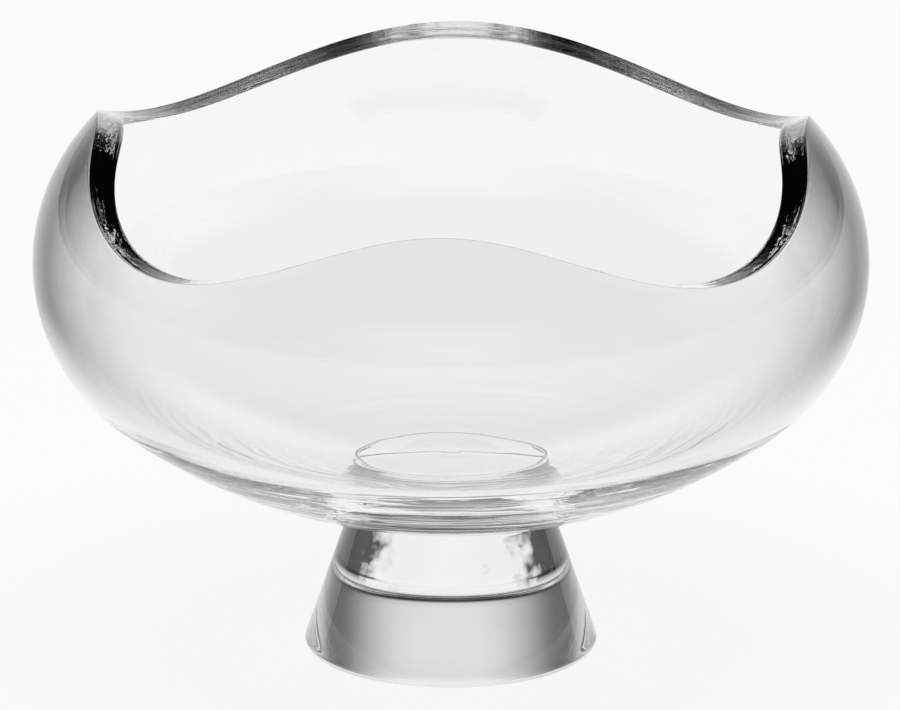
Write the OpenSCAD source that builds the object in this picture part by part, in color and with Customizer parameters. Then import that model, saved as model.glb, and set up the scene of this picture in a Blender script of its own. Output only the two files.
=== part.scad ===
// Footed trifle bowl: a thick blown bowl with a wave-cut rim on a solid glass foot.
// Frame: +Z up, the foot's underside on z = 0, the axis on x = y = 0. Millimetres.

/* [Bowl] */
// Outside diameter of the bowl at its widest line
bowl_diameter = 250; // [225:1:280]
// Height of the widest line above the table
widest_height = 120; // [110:1:140]
// Depth of the bowl's underside below the widest line
bowl_depth = 77; // [72:0.1:84]
// Bend radius of the wall above the widest line
upper_bend = 55.2; // [52:0.1:66]
// Bend radius of the wall below the widest line
lower_bend = 52.6; // [44:0.1:56]
// Wall thickness at the sides and the rim
wall = 7.2; // [5:0.1:9]
// Glass thickness at the middle of the bowl's bottom
bottom_thickness = 10; // [7:0.1:13]

/* [Rim] */
// Number of waves around the rim
wave_count = 4; // [3:1:6]
// Mean slope of the cut, seen from the aim point, in degrees
cut_angle = 13.9; // [12:0.1:17]
// Swing of the cut to either side of its mean slope, in degrees
wave_angle = 5.6; // [2:0.1:7]
// Height of the point on the axis that the cut is aimed at, above the widest line
cut_aim = 4.6; // [0:0.1:8]
// Width of the small flat ground on each edge of the cut
arris = 0.6; // [0.3:0.05:1]

/* [Foot] */
// Diameter of the foot at the table, measured to the sharp corner
base_diameter = 88.9; // [80:0.1:100]
// Lean of the foot's side from upright, in degrees
foot_lean = 18.5; // [14:0.1:22]
// Rounding of the foot's bottom edge
base_round = 2; // [0.5:0.1:2.5]
// Hollow fillet between the foot's line and the bowl's underside
joint_fillet = 2; // [1:0.1:4]
// How far the joint face lies below the bowl's underside
joint_drop = 1; // [0.5:0.1:2]

/* [Hidden] */
// Facets round the axis and along each bend
round_steps = 96;
bend_steps = 36;
// Overrun of every cut
over = 3;
// How far two bends that run into each other overlap
blend = 0.05;
// How far the foot's edge round stands proud of the cone that it runs into
seam = 0.005;

widest_radius = bowl_diameter / 2;
upper_centre = widest_radius - upper_bend;
lower_centre = widest_radius - lower_bend;
// Underside arc: centred on the axis and tangent to the lower bend
under_gap = bowl_depth + blend - lower_bend;
under_height = (lower_centre * lower_centre - under_gap * under_gap) / (2 * under_gap);
under_radius = under_height + bowl_depth;
// Floor arc: the same construction for the inside
inner_upper = upper_bend - wall;
inner_lower = lower_bend - wall;
floor_gap = bowl_depth + blend - bottom_thickness - inner_lower;
floor_height = (lower_centre * lower_centre - floor_gap * floor_gap) / (2 * floor_gap);
floor_radius = floor_height + bowl_depth - bottom_thickness;

// Joint face between bowl and foot, heights from the table
joint_height = widest_height - bowl_depth - joint_drop;
base_radius = base_diameter / 2;
joint_radius = base_radius - joint_height * tan(foot_lean);

// The fillet, limited by the stub that it runs down
fillet_share = 0.98;
joint_rise = joint_height - widest_height - under_height;
stub_room = joint_radius * joint_radius + joint_rise * joint_rise - under_radius * under_radius;
stub_spread = 2 * (under_radius - joint_radius * cos(foot_lean) - joint_rise * sin(foot_lean));
fillet = min(joint_fillet, fillet_share * stub_room / stub_spread);
// Fillet centre: a little under one fillet radius from the foot's line and from the underside arc
fillet_gap = fillet * fillet_share;
slide_r = joint_radius + fillet_gap * cos(foot_lean);
slide_z = joint_rise + fillet_gap * sin(foot_lean);
reach = under_radius + fillet_gap;
slide_half = slide_z * cos(foot_lean) - slide_r * sin(foot_lean);
slide_rest = slide_r * slide_r + slide_z * slide_z - reach * reach;
slide = -slide_half - sqrt(slide_half * slide_half - slide_rest);
fillet_r = slide_r - slide * sin(foot_lean);
fillet_z = slide_z + slide * cos(foot_lean);
// Corners of the web that the fillet is cut from, inside the bowl's glass and inside the stub
web_share = 1 - bottom_thickness / (2 * under_radius);
web_bowl_r = fillet_r * web_share;
web_bowl_z = fillet_z * web_share;
web_stub_r = fillet_r - 2 * fillet * cos(foot_lean);
web_stub_z = fillet_z - fillet_gap * sin(foot_lean);
// Top of the stub's side, carried up into the bowl's glass
stub_run = slide + bottom_thickness / 2;

// Rounded bottom edge of the foot
edge_r = base_radius - base_round * tan(foot_lean) - base_round / cos(foot_lean) + seam;
edge_side_r = edge_r - seam + base_round * cos(foot_lean);
edge_side_z = base_round + base_round * sin(foot_lean);

// The rim: slope of the cut at a turn, and how far out the wall lies along it
function cut_slope(turn) = cut_angle + wave_angle * cos(wave_count * turn);
function along(slope) = cut_aim * sin(slope) - upper_centre * cos(slope);
function wall_reach(slope, bend) = -along(slope) + sqrt(along(slope) * along(slope)
    - upper_centre * upper_centre - cut_aim * cut_aim + bend * bend);
peak_slope = cut_angle + abs(wave_angle);
peak_height = cut_aim + wall_reach(peak_slope, upper_bend) * sin(peak_slope);
blank_height = min(peak_height + over, upper_bend - arris);

// A point of the cutter: turn round the axis, distance out along the cut and height off it
function cut_point(turn, slope, out, up) = [
    (out * cos(slope) - up * sin(slope)) * cos(turn),
    (out * cos(slope) - up * sin(slope)) * sin(turn),
    widest_height + cut_aim + out * sin(slope) + up * cos(slope)];
function throat_point(turn, radius, height) = [radius * cos(turn), radius * sin(turn), height];
function top_point(turn, radius) = throat_point(turn, radius, widest_height + blank_height + over);
function cut_ring(turn, slope, inner, outer) = [
    cut_point(turn, slope, inner + arris - over, -over),
    cut_point(turn, slope, inner + arris, 0),
    cut_point(turn, slope, outer - arris, 0),
    cut_point(turn, slope, outer - arris + over, -over),
    top_point(turn, widest_radius + over),
    top_point(turn, upper_centre - over),
    throat_point(turn, upper_centre - over, cut_point(turn, slope, inner + arris - over, -over)[2])];
function ring_at(turn) = cut_ring(turn, cut_slope(turn),
    wall_reach(cut_slope(turn), inner_upper), wall_reach(cut_slope(turn), upper_bend));

// The blank's outline right of the axis, from the underside to above the rim
module oval(upper, lower, arc_radius, arc_height, low, top) {
    // Wall above the widest line
    intersection() {
        union() {
            translate([upper_centre, 0])
                circle(r = upper, $fn = bend_steps);
            square([upper_centre, top]);
        }
        square([widest_radius + over, top]);
    }
    // Wall below the widest line
    intersection() {
        translate([lower_centre, 0])
            circle(r = lower, $fn = bend_steps);
        translate([0, -low])
            square([widest_radius + over, low]);
    }
    // Bottom between the axis and the tangent line
    intersection() {
        translate([0, arc_height])
            circle(r = arc_radius, $fn = 3 * bend_steps);
        polygon([[0, 0], [lower_centre, 0],
            [lower_centre * (arc_height + low + over) / arc_height, -low - over], [0, -low - over]]);
    }
}

// Stub under the bowl that carries on the foot's line, with its hollow fillet
module stub() {
    top_r = joint_radius - stub_run * sin(foot_lean);
    top_z = joint_rise + stub_run * cos(foot_lean);
    translate([0, widest_height + under_height]) {
        polygon([[0, joint_rise], [joint_radius, joint_rise], [top_r, top_z], [0, top_z]]);
        difference() {
            polygon([[web_bowl_r, web_bowl_z], [web_stub_r, web_bowl_z], [web_stub_r, web_stub_z],
                [fillet_r, fillet_z]]);
            translate([fillet_r, fillet_z])
                circle(r = fillet, $fn = bend_steps);
        }
    }
}

// Ring-shaped cutter whose lower face is the wave with its two arris flats
module wave_cutter() {
    rings = [for (i = [0 : round_steps - 1]) ring_at(360 * i / round_steps)];
    points = [for (ring = rings) each ring];
    corner_count = len(rings[0]);
    function at(i, k) = (i % round_steps) * corner_count + k % corner_count;
    flats = [for (i = [0 : round_steps - 1]) for (k = [1, 4, 5])
        [at(i, k), at(i, k + 1), at(i + 1, k + 1), at(i + 1, k)]];
    slants = [for (i = [0 : round_steps - 1]) for (k = [0, 2, 3, 6])
        each [[at(i, k), at(i, k + 1), at(i + 1, k + 1)], [at(i, k), at(i + 1, k + 1), at(i + 1, k)]]];
    polyhedron(points = points, faces = concat(flats, slants), convexity = 8);
}

// Blown bowl with its wave-cut rim and the stub that meets the foot
module bowl() {
    color([0.86, 0.90, 0.91, 0.35])
        difference() {
            rotate_extrude($fn = round_steps)
                difference() {
                    union() {
                        translate([0, widest_height])
                            oval(upper_bend, lower_bend, under_radius, under_height, bowl_depth, blank_height);
                        stub();
                    }
                    translate([0, widest_height])
                        oval(inner_upper, inner_lower, floor_radius, floor_height,
                            bowl_depth - bottom_thickness, blank_height + over);
                }
            wave_cutter();
        }
}

// Solid foot: a cone with a flat top for the joint and a rounded bottom edge
module foot() {
    color([0.84, 0.89, 0.90, 0.35])
        rotate_extrude($fn = round_steps) {
            polygon([[0, 0], [edge_r, 0], [edge_r, base_round], [edge_side_r, edge_side_z],
                [joint_radius, joint_height], [0, joint_height]]);
            translate([edge_r, base_round])
                circle(r = base_round, $fn = bend_steps);
        }
}

bowl();
foot();
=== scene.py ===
import bpy
import bmesh
import math
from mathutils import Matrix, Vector


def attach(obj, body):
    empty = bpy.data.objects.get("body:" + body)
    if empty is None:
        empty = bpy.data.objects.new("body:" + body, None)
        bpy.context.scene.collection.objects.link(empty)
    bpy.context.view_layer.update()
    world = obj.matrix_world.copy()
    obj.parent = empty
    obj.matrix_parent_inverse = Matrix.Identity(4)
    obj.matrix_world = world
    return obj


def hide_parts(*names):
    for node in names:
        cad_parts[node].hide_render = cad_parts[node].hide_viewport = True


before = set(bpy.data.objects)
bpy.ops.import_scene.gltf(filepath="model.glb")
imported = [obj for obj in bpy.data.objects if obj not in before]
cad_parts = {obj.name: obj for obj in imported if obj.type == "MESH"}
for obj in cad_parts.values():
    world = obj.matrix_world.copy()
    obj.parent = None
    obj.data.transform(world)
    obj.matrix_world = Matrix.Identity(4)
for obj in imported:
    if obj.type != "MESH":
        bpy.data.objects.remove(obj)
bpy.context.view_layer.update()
scene = bpy.context.scene
scene.view_settings.view_transform = "Standard"
print("frame loaded:", sorted(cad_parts))

sameSpot = 1e-6  # metres, two heights closer than this count as one
mergeGap = 2e-6  # points closer than this become one when a profile is turned round


# small helpers for profiles drawn in the XZ plane, metres
def runTo(bm, vert, x, z, cuts):
    last = vert
    start = vert.co.copy()
    end = Vector((x, 0, z))
    for i in range(cuts):  # a straight run is one extruded vertex after another
        last = bmesh.ops.extrude_vert_indiv(bm, verts=[last])["verts"][0]
        last.co = start.lerp(end, (i + 1) / cuts)
    return last


def bendBy(bm, vert, centreX, centreZ, degrees, steps):
    made = bmesh.ops.spin(bm, geom=[vert], cent=(centreX, 0, centreZ), axis=(0, -1, 0),
                          angle=math.radians(degrees), steps=steps, use_duplicate=False)
    return [g for g in made["geom_last"] if isinstance(g, bmesh.types.BMVert)][0]


def turnRound(bm, steps):
    bmesh.ops.spin(bm, geom=bm.verts[:] + bm.edges[:], cent=(0, 0, 0), axis=(0, 0, 1),
                   angle=math.tau, steps=steps, use_merge=True, use_duplicate=False)
    bmesh.ops.remove_doubles(bm, verts=bm.verts[:], dist=mergeGap)  # closes the poles on the axis
    bmesh.ops.recalc_face_normals(bm, faces=bm.faces[:])


def finishPiece(bm, name, node, materials):
    mesh = bpy.data.meshes.new(name)
    for face in bm.faces:
        face.smooth = True
    for edge in bm.edges:  # the joint face meets the sides at a crisp corner
        if len(set(materials[f.material_index] is jointGlass for f in edge.link_faces)) == 2:
            edge.smooth = False
    bm.to_mesh(mesh)
    bm.free()
    piece = bpy.data.objects.new(name, mesh)
    scene.collection.objects.link(piece)
    for material in materials:
        mesh.materials.append(material)
    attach(piece, "root")
    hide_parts(node)
    print(name, "faces:", len(mesh.polygons))


# small helpers for shader nodes
def mapSteps(tree, value, low, high, start, end):  # a smooth step between two values
    step = tree.nodes.new("ShaderNodeMapRange")
    step.interpolation_type = "SMOOTHSTEP"
    step.inputs["From Min"].default_value = low
    step.inputs["From Max"].default_value = high
    step.inputs["To Min"].default_value = start
    step.inputs["To Max"].default_value = end
    tree.links.new(value, step.inputs["Value"])
    return step.outputs["Result"]


def mathNode(tree, operation, first, second=None):
    node = tree.nodes.new("ShaderNodeMath")
    node.operation = operation
    for i, value in enumerate((first, second)):
        if isinstance(value, (int, float)):
            node.inputs[i].default_value = value
        elif value is not None:
            tree.links.new(value, node.inputs[i])
    return node.outputs[0]


def noiseNode(tree, vector, scale, detail):
    noise = tree.nodes.new("ShaderNodeTexNoise")
    noise.inputs["Scale"].default_value = scale
    noise.inputs["Detail"].default_value = detail
    tree.links.new(vector, noise.inputs["Vector"])
    return noise.outputs["Fac"]


def bumpNode(tree, height, depth):
    bump = tree.nodes.new("ShaderNodeBump")
    bump.inputs["Strength"].default_value = 1.0
    bump.inputs["Distance"].default_value = depth
    tree.links.new(height, bump.inputs["Height"])
    return bump


def splitPlace(tree, place):
    split = tree.nodes.new("ShaderNodeSeparateXYZ")
    tree.links.new(place, split.inputs["Vector"])
    return split.outputs["X"], split.outputs["Y"], split.outputs["Z"]


# glass: clear, a little uneven as blown glass is
def clearGlass(name, look):
    material = bpy.data.materials.new(name)
    material.use_nodes = True
    tree = material.node_tree
    skin = tree.nodes["Principled BSDF"]
    skin.inputs["IOR"].default_value = look["ior"]
    skin.inputs["Transmission Weight"].default_value = 1.0
    place = tree.nodes.new("ShaderNodeTexCoord").outputs["Object"]
    swell = noiseNode(tree, place, look["swellScale"], look["swellDetail"])  # slow waviness from the blowing
    wipe = noiseNode(tree, place, look["wipeScale"], look["wipeDetail"])  # fine marks that soften the polish

    tint = tree.nodes.new("ShaderNodeValToRGB")  # faint streaks of tint
    tint.color_ramp.elements[0].color = (*look["tintLow"], 1)
    tint.color_ramp.elements[1].color = (*look["tintHigh"], 1)
    tree.links.new(swell, tint.inputs["Fac"])
    shade = tint.outputs["Color"]
    # painted shade: the glass colour darkens where the surface is seen edge-on
    if look["paintedShadeKeep"] < 1:
        shade = paintedEdgeShade(tree, place, shade, wipe, look)
    tree.links.new(shade, skin.inputs["Base Color"])

    polish = tree.nodes.new("ShaderNodeMapRange")
    polish.inputs["From Min"].default_value = look["wipeLow"]
    polish.inputs["From Max"].default_value = look["wipeHigh"]
    polish.inputs["To Min"].default_value = look["roughLow"]
    polish.inputs["To Max"].default_value = look["roughHigh"]
    tree.links.new(wipe, polish.inputs["Value"])
    tree.links.new(polish.outputs["Result"], skin.inputs["Roughness"])

    bump = bumpNode(tree, swell, look["swellDepth"])
    tree.links.new(bump.outputs["Normal"], skin.inputs["Normal"])
    if look["ringDepth"]:
        spunRings(tree, place, bump, look)
    return material


def paintedEdgeShade(tree, place, shade, wipe, look):  # painted shade: the glass colour is darkened where it is seen edge-on, in place of the dark room reflected there
    z = splitPlace(tree, place)[2]
    high = mapSteps(tree, z, look["paintedShadeLow"], look["paintedShadeHigh"], 0.0, 1.0 - look["paintedShadeKeep"])
    stir = mathNode(tree, "SUBTRACT", wipe, 0.5)  # the noise swings about a half
    stir = mathNode(tree, "MULTIPLY", stir, look["paintedShadeStir"])
    facing = tree.nodes.new("ShaderNodeLayerWeight").outputs["Facing"]
    turned = mathNode(tree, "ADD", facing, stir)
    turned = mapSteps(tree, turned, look["paintedShadeFrom"], look["paintedShadeTo"], 0.0, 1.0)
    keep = mathNode(tree, "SUBTRACT", 1.0, mathNode(tree, "MULTIPLY", high, turned))
    shadeScaler = tree.nodes.new("ShaderNodeVectorMath")
    shadeScaler.operation = "SCALE"
    tree.links.new(shade, shadeScaler.inputs["Vector"])
    tree.links.new(keep, shadeScaler.inputs["Scale"])
    return shadeScaler.outputs["Vector"]


def spunRings(tree, place, bump, look):  # soft rings left by turning the hot glass, deepest low on the bowl
    x, y, z = splitPlace(tree, place)
    square = mathNode(tree, "ADD", mathNode(tree, "MULTIPLY", x, x), mathNode(tree, "MULTIPLY", y, y))
    radius = mathNode(tree, "SQRT", square)
    across = mathNode(tree, "MULTIPLY", radius, look["ringScale"])
    upward = mathNode(tree, "MULTIPLY", z, look["ringScale"])
    drawn = tree.nodes.new("ShaderNodeCombineXYZ")  # long round the axis, short along the profile
    tree.links.new(mathNode(tree, "MULTIPLY", x, look["ringRun"]), drawn.inputs["X"])
    tree.links.new(mathNode(tree, "MULTIPLY", y, look["ringRun"]), drawn.inputs["Y"])
    tree.links.new(mathNode(tree, "ADD", across, upward), drawn.inputs["Z"])
    ring = noiseNode(tree, drawn.outputs["Vector"], 1.0, look["swellDetail"])
    low = mapSteps(tree, z, look["ringFull"], look["ringEnd"], 1.0, look["ringLeft"])
    furrow = bumpNode(tree, mathNode(tree, "MULTIPLY", ring, low), look["ringDepth"])
    tree.links.new(furrow.outputs["Normal"], bump.inputs["Normal"])


def meltedJoint(name):  # the face where bowl and foot were joined hot: no skin is left there
    material = bpy.data.materials.new(name)
    material.use_nodes = True
    tree = material.node_tree
    tree.nodes.remove(tree.nodes["Principled BSDF"])
    through = tree.nodes.new("ShaderNodeBsdfTransparent")
    tree.links.new(through.outputs["BSDF"], tree.nodes["Material Output"].inputs["Surface"])
    return material


blownLook = {"ior": 1.5, "tintLow": (0.962, 0.962, 0.962), "tintHigh": (0.982, 0.982, 0.982),
             "swellScale": 22.0, "swellDetail": 1.0, "swellDepth": 0.00025,
             "wipeScale": 160.0, "wipeDetail": 3.0, "wipeLow": 0.45, "wipeHigh": 0.75,
             "roughLow": 0.0, "roughHigh": 0.015,
             "ringDepth": 0.0004, "ringScale": 120.0, "ringRun": 9.0,
             "ringFull": 0.066, "ringEnd": 0.092, "ringLeft": 0.06,  # heights between which the rings fade
             "paintedShadeFrom": 0.27, "paintedShadeTo": 0.74, "paintedShadeKeep": 0.01, "paintedShadeStir": 0.0,
             "paintedShadeLow": 0.076, "paintedShadeHigh": 0.118}  # heights between which the painted edge-on shade comes in
innerLook = dict(blownLook, paintedShadeKeep=1.0)
cutLook = dict(blownLook, swellScale=300.0, swellDepth=0.00014, roughHigh=0.03, ringDepth=0.0, paintedShadeKeep=1.0)
# the foot takes the painted edge-on shade on its upper part, in place of the dark reflections inside it
footLook = dict(blownLook, swellScale=16.0, swellDepth=0.00015, ringDepth=0.0, paintedShadeFrom=0.13, paintedShadeTo=0.31,
                paintedShadeKeep=0.006, paintedShadeStir=0.6, paintedShadeLow=0.0255, paintedShadeHigh=0.0285)
bowlGlass = clearGlass("bowl_glass", blownLook)
innerGlass = clearGlass("inner_glass", innerLook)
rimGlass = clearGlass("rim_glass", cutLook)
footGlass = clearGlass("foot_glass", footLook)
jointGlass = meltedJoint("joint_glass")
print("glass mixed")


# bowl: one closed outline turned round, then its rim pulled into waves
bowlSize = {"widest": 0.125, "widestHeight": 0.120, "depth": 0.077, "upperBend": 0.0552, "lowerBend": 0.0526,
            "wall": 0.0072, "bottom": 0.010, "waves": 4, "cutAngle": 13.9, "waveAngle": 5.6, "cutAim": 0.0046,
            "arris": 0.0004, "arrisSteps": 3, "cutSlack": 0.02,
            "blankTop": 50.0, "turnSteps": 288,  # the blank's end in degrees of its bend, before the waves are cut
            "jointSteps": 6, "stubSteps": 2, "filletSteps": 8, "underSteps": 26, "lowerSteps": 26,
            "upperSteps": 22, "rimSteps": 8, "innerLowerSteps": 24, "floorSteps": 30}
footSize = {"baseRadius": 0.04445, "lean": 18.5, "edgeRound": 0.002, "jointDrop": 0.001, "fillet": 0.002,
            "baseSteps": 10, "edgeSteps": 10, "sideSteps": 24, "jointSteps": 6, "turnSteps": 288}
jointHeight = bowlSize["widestHeight"] - bowlSize["depth"] - footSize["jointDrop"]
jointRadius = footSize["baseRadius"] - jointHeight * math.tan(math.radians(footSize["lean"]))


def bottomArc(centreX, bend, depth):  # arc on the axis tangent to a bend: centre height, radius, half angle
    gap = depth - bend
    height = (centreX ** 2 - gap ** 2) / (2 * gap)
    return height, height + depth, math.degrees(math.atan2(centreX, height))


def reachAlong(slope, centreX, bend, aim):  # how far out a bend lies along a slope from the aim point
    along = aim * math.sin(slope) - centreX * math.cos(slope)
    return -along + math.sqrt(along ** 2 - centreX ** 2 - aim ** 2 + bend ** 2)


def cutSlope(around):  # slope of the wave's cut at a turn round the axis, degrees
    return bowlSize["cutAngle"] + bowlSize["waveAngle"] * math.cos(bowlSize["waves"] * around)


def buildBowl():
    s = bowlSize
    level = s["widestHeight"]
    upperX, lowerX = s["widest"] - s["upperBend"], s["widest"] - s["lowerBend"]
    underZ, underR, underHalf = bottomArc(lowerX, s["lowerBend"], s["depth"])
    floorZ, _, floorHalf = bottomArc(lowerX, s["lowerBend"] - s["wall"], s["depth"] - s["bottom"])
    lean = math.radians(footSize["lean"])
    fillet = footSize["fillet"]

    # the fillet's centre lies one fillet off the foot's line and one off the underside
    startX = jointRadius + fillet * math.cos(lean)
    startZ = jointHeight + fillet * math.sin(lean) - level - underZ
    half = startZ * math.cos(lean) - startX * math.sin(lean)
    rest = startX ** 2 + startZ ** 2 - (underR + fillet) ** 2
    slide = -half - math.sqrt(half ** 2 - rest)
    filletX, filletZ = startX - slide * math.sin(lean), startZ + slide * math.cos(lean)
    underTurn = math.degrees(math.atan2(filletX, -filletZ))  # where the fillet meets the underside
    stubX = filletX - fillet * math.cos(lean)
    stubZ = filletZ - fillet * math.sin(lean) + level + underZ

    # outside from the joint up to the blank's end, then down the inside to the axis
    top = s["blankTop"]
    turn = math.radians(top)
    inner = s["upperBend"] - s["wall"]
    bm = bmesh.new()
    point = bm.verts.new((0, 0, jointHeight))
    point = runTo(bm, point, jointRadius, jointHeight, s["jointSteps"])
    point = runTo(bm, point, stubX, stubZ, s["stubSteps"])
    filletTurn = -(90 + footSize["lean"] - underTurn)
    point = bendBy(bm, point, filletX, filletZ + level + underZ, filletTurn, s["filletSteps"])
    point = bendBy(bm, point, 0, level + underZ, underHalf - underTurn, s["underSteps"])
    point = bendBy(bm, point, lowerX, level, 90 - underHalf, s["lowerSteps"])
    point = bendBy(bm, point, upperX, level, top, s["upperSteps"])
    innerX, innerZ = upperX + inner * math.cos(turn), level + inner * math.sin(turn)
    point = runTo(bm, point, innerX, innerZ, s["rimSteps"])
    point = bendBy(bm, point, upperX, level, -top, s["upperSteps"])
    point = bendBy(bm, point, lowerX, level, -(90 - floorHalf), s["innerLowerSteps"])
    point = bendBy(bm, point, 0, level + floorZ, -floorHalf, s["floorSteps"])
    point.co.x = 0.0
    turnRound(bm, s["turnSteps"])

    # waves: every point above the widest line slides along its bend to the cut
    aim = s["cutAim"]
    for v in bm.verts:
        z = v.co.z - level
        radius = math.hypot(v.co.x, v.co.y)
        if z <= sameSpot / 10 or radius < upperX:
            continue
        around = math.atan2(v.co.y, v.co.x)
        slope = math.radians(cutSlope(around))
        share = math.atan2(z, radius - upperX) / turn
        across = (s["upperBend"] - math.hypot(radius - upperX, z)) / s["wall"]
        place = [0.0, 0.0]
        for bend, weight in ((s["upperBend"], 1 - across), (inner, across)):
            out = reachAlong(slope, upperX, bend, aim)
            rimTurn = math.atan2(aim + out * math.sin(slope), out * math.cos(slope) - upperX)
            place[0] += weight * (upperX + bend * math.cos(rimTurn * share))
            place[1] += weight * bend * math.sin(rimTurn * share)
        v.co = Vector((place[0] * math.cos(around), place[0] * math.sin(around), level + place[1]))

    # the cut face and its two ground edges
    cutFaces = set()
    for face in bm.faces:
        onCut = True
        for v in face.verts:
            slope = math.degrees(math.atan2(v.co.z - level - aim, math.hypot(v.co.x, v.co.y)))
            around = math.atan2(v.co.y, v.co.x)
            if abs(slope - cutSlope(around)) > s["cutSlack"] or v.co.z < level:
                onCut = False
        if onCut:
            cutFaces.add(face)
            face.material_index = 1
    rimEdges = [e for e in bm.edges if len(set(f in cutFaces for f in e.link_faces)) == 2]
    bmesh.ops.bevel(bm, geom=rimEdges, offset=s["arris"], offset_type="OFFSET", segments=s["arrisSteps"],
                    profile=0.5, affect="EDGES", material=-1)
    for face in bm.faces:  # the face that melts into the foot
        if max(v.co.z for v in face.verts) < jointHeight + sameSpot:
            face.material_index = 2
    bmesh.ops.recalc_face_normals(bm, faces=bm.faces[:])
    middle = Vector((0, 0, level))
    for face in bm.faces:  # the inside of the wall looks towards the middle
        if face.material_index == 0 and face.normal.dot(middle - face.calc_center_median()) > 0:
            face.material_index = 3
    finishPiece(bm, "blown_bowl", "bowl", [bowlGlass, rimGlass, jointGlass, innerGlass])


# foot: a solid cone with a rounded bottom edge
def buildFoot():
    s = footSize
    lean = math.radians(s["lean"])
    edgeX = s["baseRadius"] - s["edgeRound"] * math.tan(lean) - s["edgeRound"] / math.cos(lean)
    bm = bmesh.new()
    point = bm.verts.new((0, 0, 0))
    point = runTo(bm, point, edgeX, 0, s["baseSteps"])
    point = bendBy(bm, point, edgeX, s["edgeRound"], 90 + s["lean"], s["edgeSteps"])
    point = runTo(bm, point, jointRadius, jointHeight, s["sideSteps"])
    runTo(bm, point, 0, jointHeight, s["jointSteps"])
    turnRound(bm, s["turnSteps"])
    for face in bm.faces:  # the face that melts into the stub
        if min(v.co.z for v in face.verts) > jointHeight - sameSpot:
            face.material_index = 1
    finishPiece(bm, "solid_foot", "foot", [footGlass, jointGlass])


buildBowl()
buildFoot()


# studio: a plain pale round table, a pale sweep on each of its four sides, a dark room overhead
studio = {"tableRadius": 3.0, "tableSides": 96, "tableDrop": 0.0002, "tableGrey": 0.8, "tableRough": 0.6,
          "tableShare": 0.92,  # how much of the table is plain white paper light, the rest takes the shadow
          "sweepFull": 9.0, "sweepEnd": 42.0, "sweepTop": 15.5, "sweepOver": 31.0, "sweepWhite": 0.86,
          "sweepSide": 45.0, "dimFrom": 45.0, "dimTo": 75.0, "otherDim": 0.75, "side": 0.11,
          "room": 0.015, "horizon": 0.3, "horizonFull": 4.0, "horizonEnd": 13.0,
          "lampSize": 1.6, "lampHeight": 1.8, "lampPower": 26.0, "mostBounces": 40, "glassBounces": 32}


def buildTable():
    s = studio
    bm = bmesh.new()
    bmesh.ops.create_circle(bm, cap_ends=True, cap_tris=False, segments=s["tableSides"], radius=s["tableRadius"])
    mesh = bpy.data.meshes.new("table_top")
    bm.to_mesh(mesh)
    bm.free()
    table = bpy.data.objects.new("table_top", mesh)
    table.location.z = -s["tableDrop"]
    scene.collection.objects.link(table)
    material = bpy.data.materials.new("white_table")
    material.use_nodes = True
    tree = material.node_tree
    skin = tree.nodes["Principled BSDF"]
    skin.inputs["Base Color"].default_value = (s["tableGrey"], s["tableGrey"], s["tableGrey"], 1)
    skin.inputs["Roughness"].default_value = s["tableRough"]
    path = tree.nodes.new("ShaderNodeLightPath")  # camera and glass see the same white
    seen = mathNode(tree, "MAXIMUM", path.outputs["Is Camera Ray"], path.outputs["Is Glossy Ray"])
    seen = mathNode(tree, "MAXIMUM", seen, path.outputs["Is Transmission Ray"])
    glow = tree.nodes.new("ShaderNodeEmission")
    glow.inputs["Strength"].default_value = 1.0
    mix = tree.nodes.new("ShaderNodeMixShader")
    tree.links.new(mathNode(tree, "MULTIPLY", seen, s["tableShare"]), mix.inputs["Fac"])
    tree.links.new(skin.outputs["BSDF"], mix.inputs[1])
    tree.links.new(glow.outputs["Emission"], mix.inputs[2])
    tree.links.new(mix.outputs["Shader"], tree.nodes["Material Output"].inputs["Surface"])
    mesh.materials.append(material)


def heightOf(degrees):  # height on the unit sphere of the room
    return math.sin(math.radians(degrees))


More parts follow.
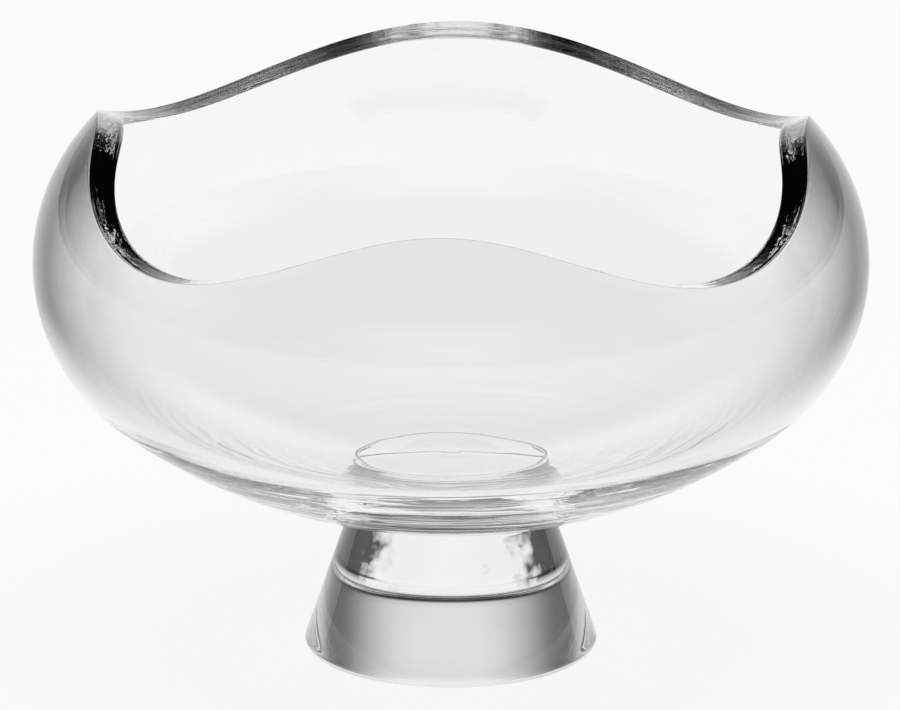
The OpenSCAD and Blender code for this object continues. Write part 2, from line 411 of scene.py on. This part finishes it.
def buildRoom():
    s = studio
    world = bpy.data.worlds.new("studio_room")
    scene.world = world
    world.use_nodes = True
    tree = world.node_tree
    back = tree.nodes["Background"]
    x, y, z = splitPlace(tree, tree.nodes.new("ShaderNodeTexCoord").outputs["Generated"])
    bearing = mathNode(tree, "ARCTAN2", x, y)  # 0 straight behind the bowl
    behind = mathNode(tree, "ABSOLUTE", bearing)
    dimFrom, dimTo = math.radians(s["dimFrom"]), math.radians(s["dimTo"])
    dim = mapSteps(tree, behind, dimFrom, dimTo, 1.0, s["otherDim"])  # fainter beside and behind the camera
    bearing = mathNode(tree, "PINGPONG", bearing, math.radians(s["sweepSide"]))  # the same on all four sides
    full, end = math.radians(s["sweepFull"]), math.radians(s["sweepEnd"])
    wide = mapSteps(tree, bearing, full, end, s["sweepWhite"], s["side"])
    tall = mapSteps(tree, z, heightOf(s["sweepTop"]), heightOf(s["sweepOver"]), 1.0, 0.0)
    sweep = mathNode(tree, "MULTIPLY", mathNode(tree, "MULTIPLY", wide, tall), dim)
    pale = mapSteps(tree, z, heightOf(s["horizonFull"]), heightOf(s["horizonEnd"]), s["horizon"], 0.0)
    total = mathNode(tree, "ADD", mathNode(tree, "MAXIMUM", sweep, pale), s["room"])
    back.inputs["Color"].default_value = (1, 1, 1, 1)
    tree.links.new(total, back.inputs["Strength"])

    lamp = bpy.data.lights.new("top_softbox", "AREA")
    lamp.shape = "DISK"
    lamp.size = s["lampSize"]
    lamp.energy = s["lampPower"]
    lampObject = bpy.data.objects.new("top_softbox", lamp)
    lampObject.location = (0, 0, s["lampHeight"])
    lampObject.visible_glossy = False  # its disc would show in the glass
    lampObject.visible_transmission = False
    scene.collection.objects.link(lampObject)
    scene.cycles.max_bounces = s["mostBounces"]  # light runs a long way inside the foot and the wall
    scene.cycles.glossy_bounces = s["glassBounces"]
    scene.cycles.transmission_bounces = s["glassBounces"]


# camera: a long lens a little above the rim
shot = {"distance": 7.5, "elevation": 18.14, "azimuth": 1.45, "aimHeight": 0.0907, "aimSide": -0.0003,
        "lens": 1004.9, "sensor": 36.0}


def buildCamera():
    s = shot
    tilt, turn = math.radians(s["elevation"]), math.radians(s["azimuth"])
    side = Vector((math.cos(turn), math.sin(turn), 0))
    away = Vector((math.sin(turn) * math.cos(tilt), -math.cos(turn) * math.cos(tilt), math.sin(tilt)))
    spot = away * s["distance"]
    spot.z += bowlSize["widestHeight"]
    data = bpy.data.cameras.new("photo_camera")
    data.lens = s["lens"]
    data.sensor_width = s["sensor"]
    camera = bpy.data.objects.new("photo_camera", data)
    scene.collection.objects.link(camera)
    camera.location = spot
    look = side * s["aimSide"] + Vector((0, 0, s["aimHeight"])) - spot
    camera.rotation_euler = look.to_track_quat("-Z", "Y").to_euler()
    scene.camera = camera


buildTable()
buildRoom()
buildCamera()
print("studio lit, camera set")
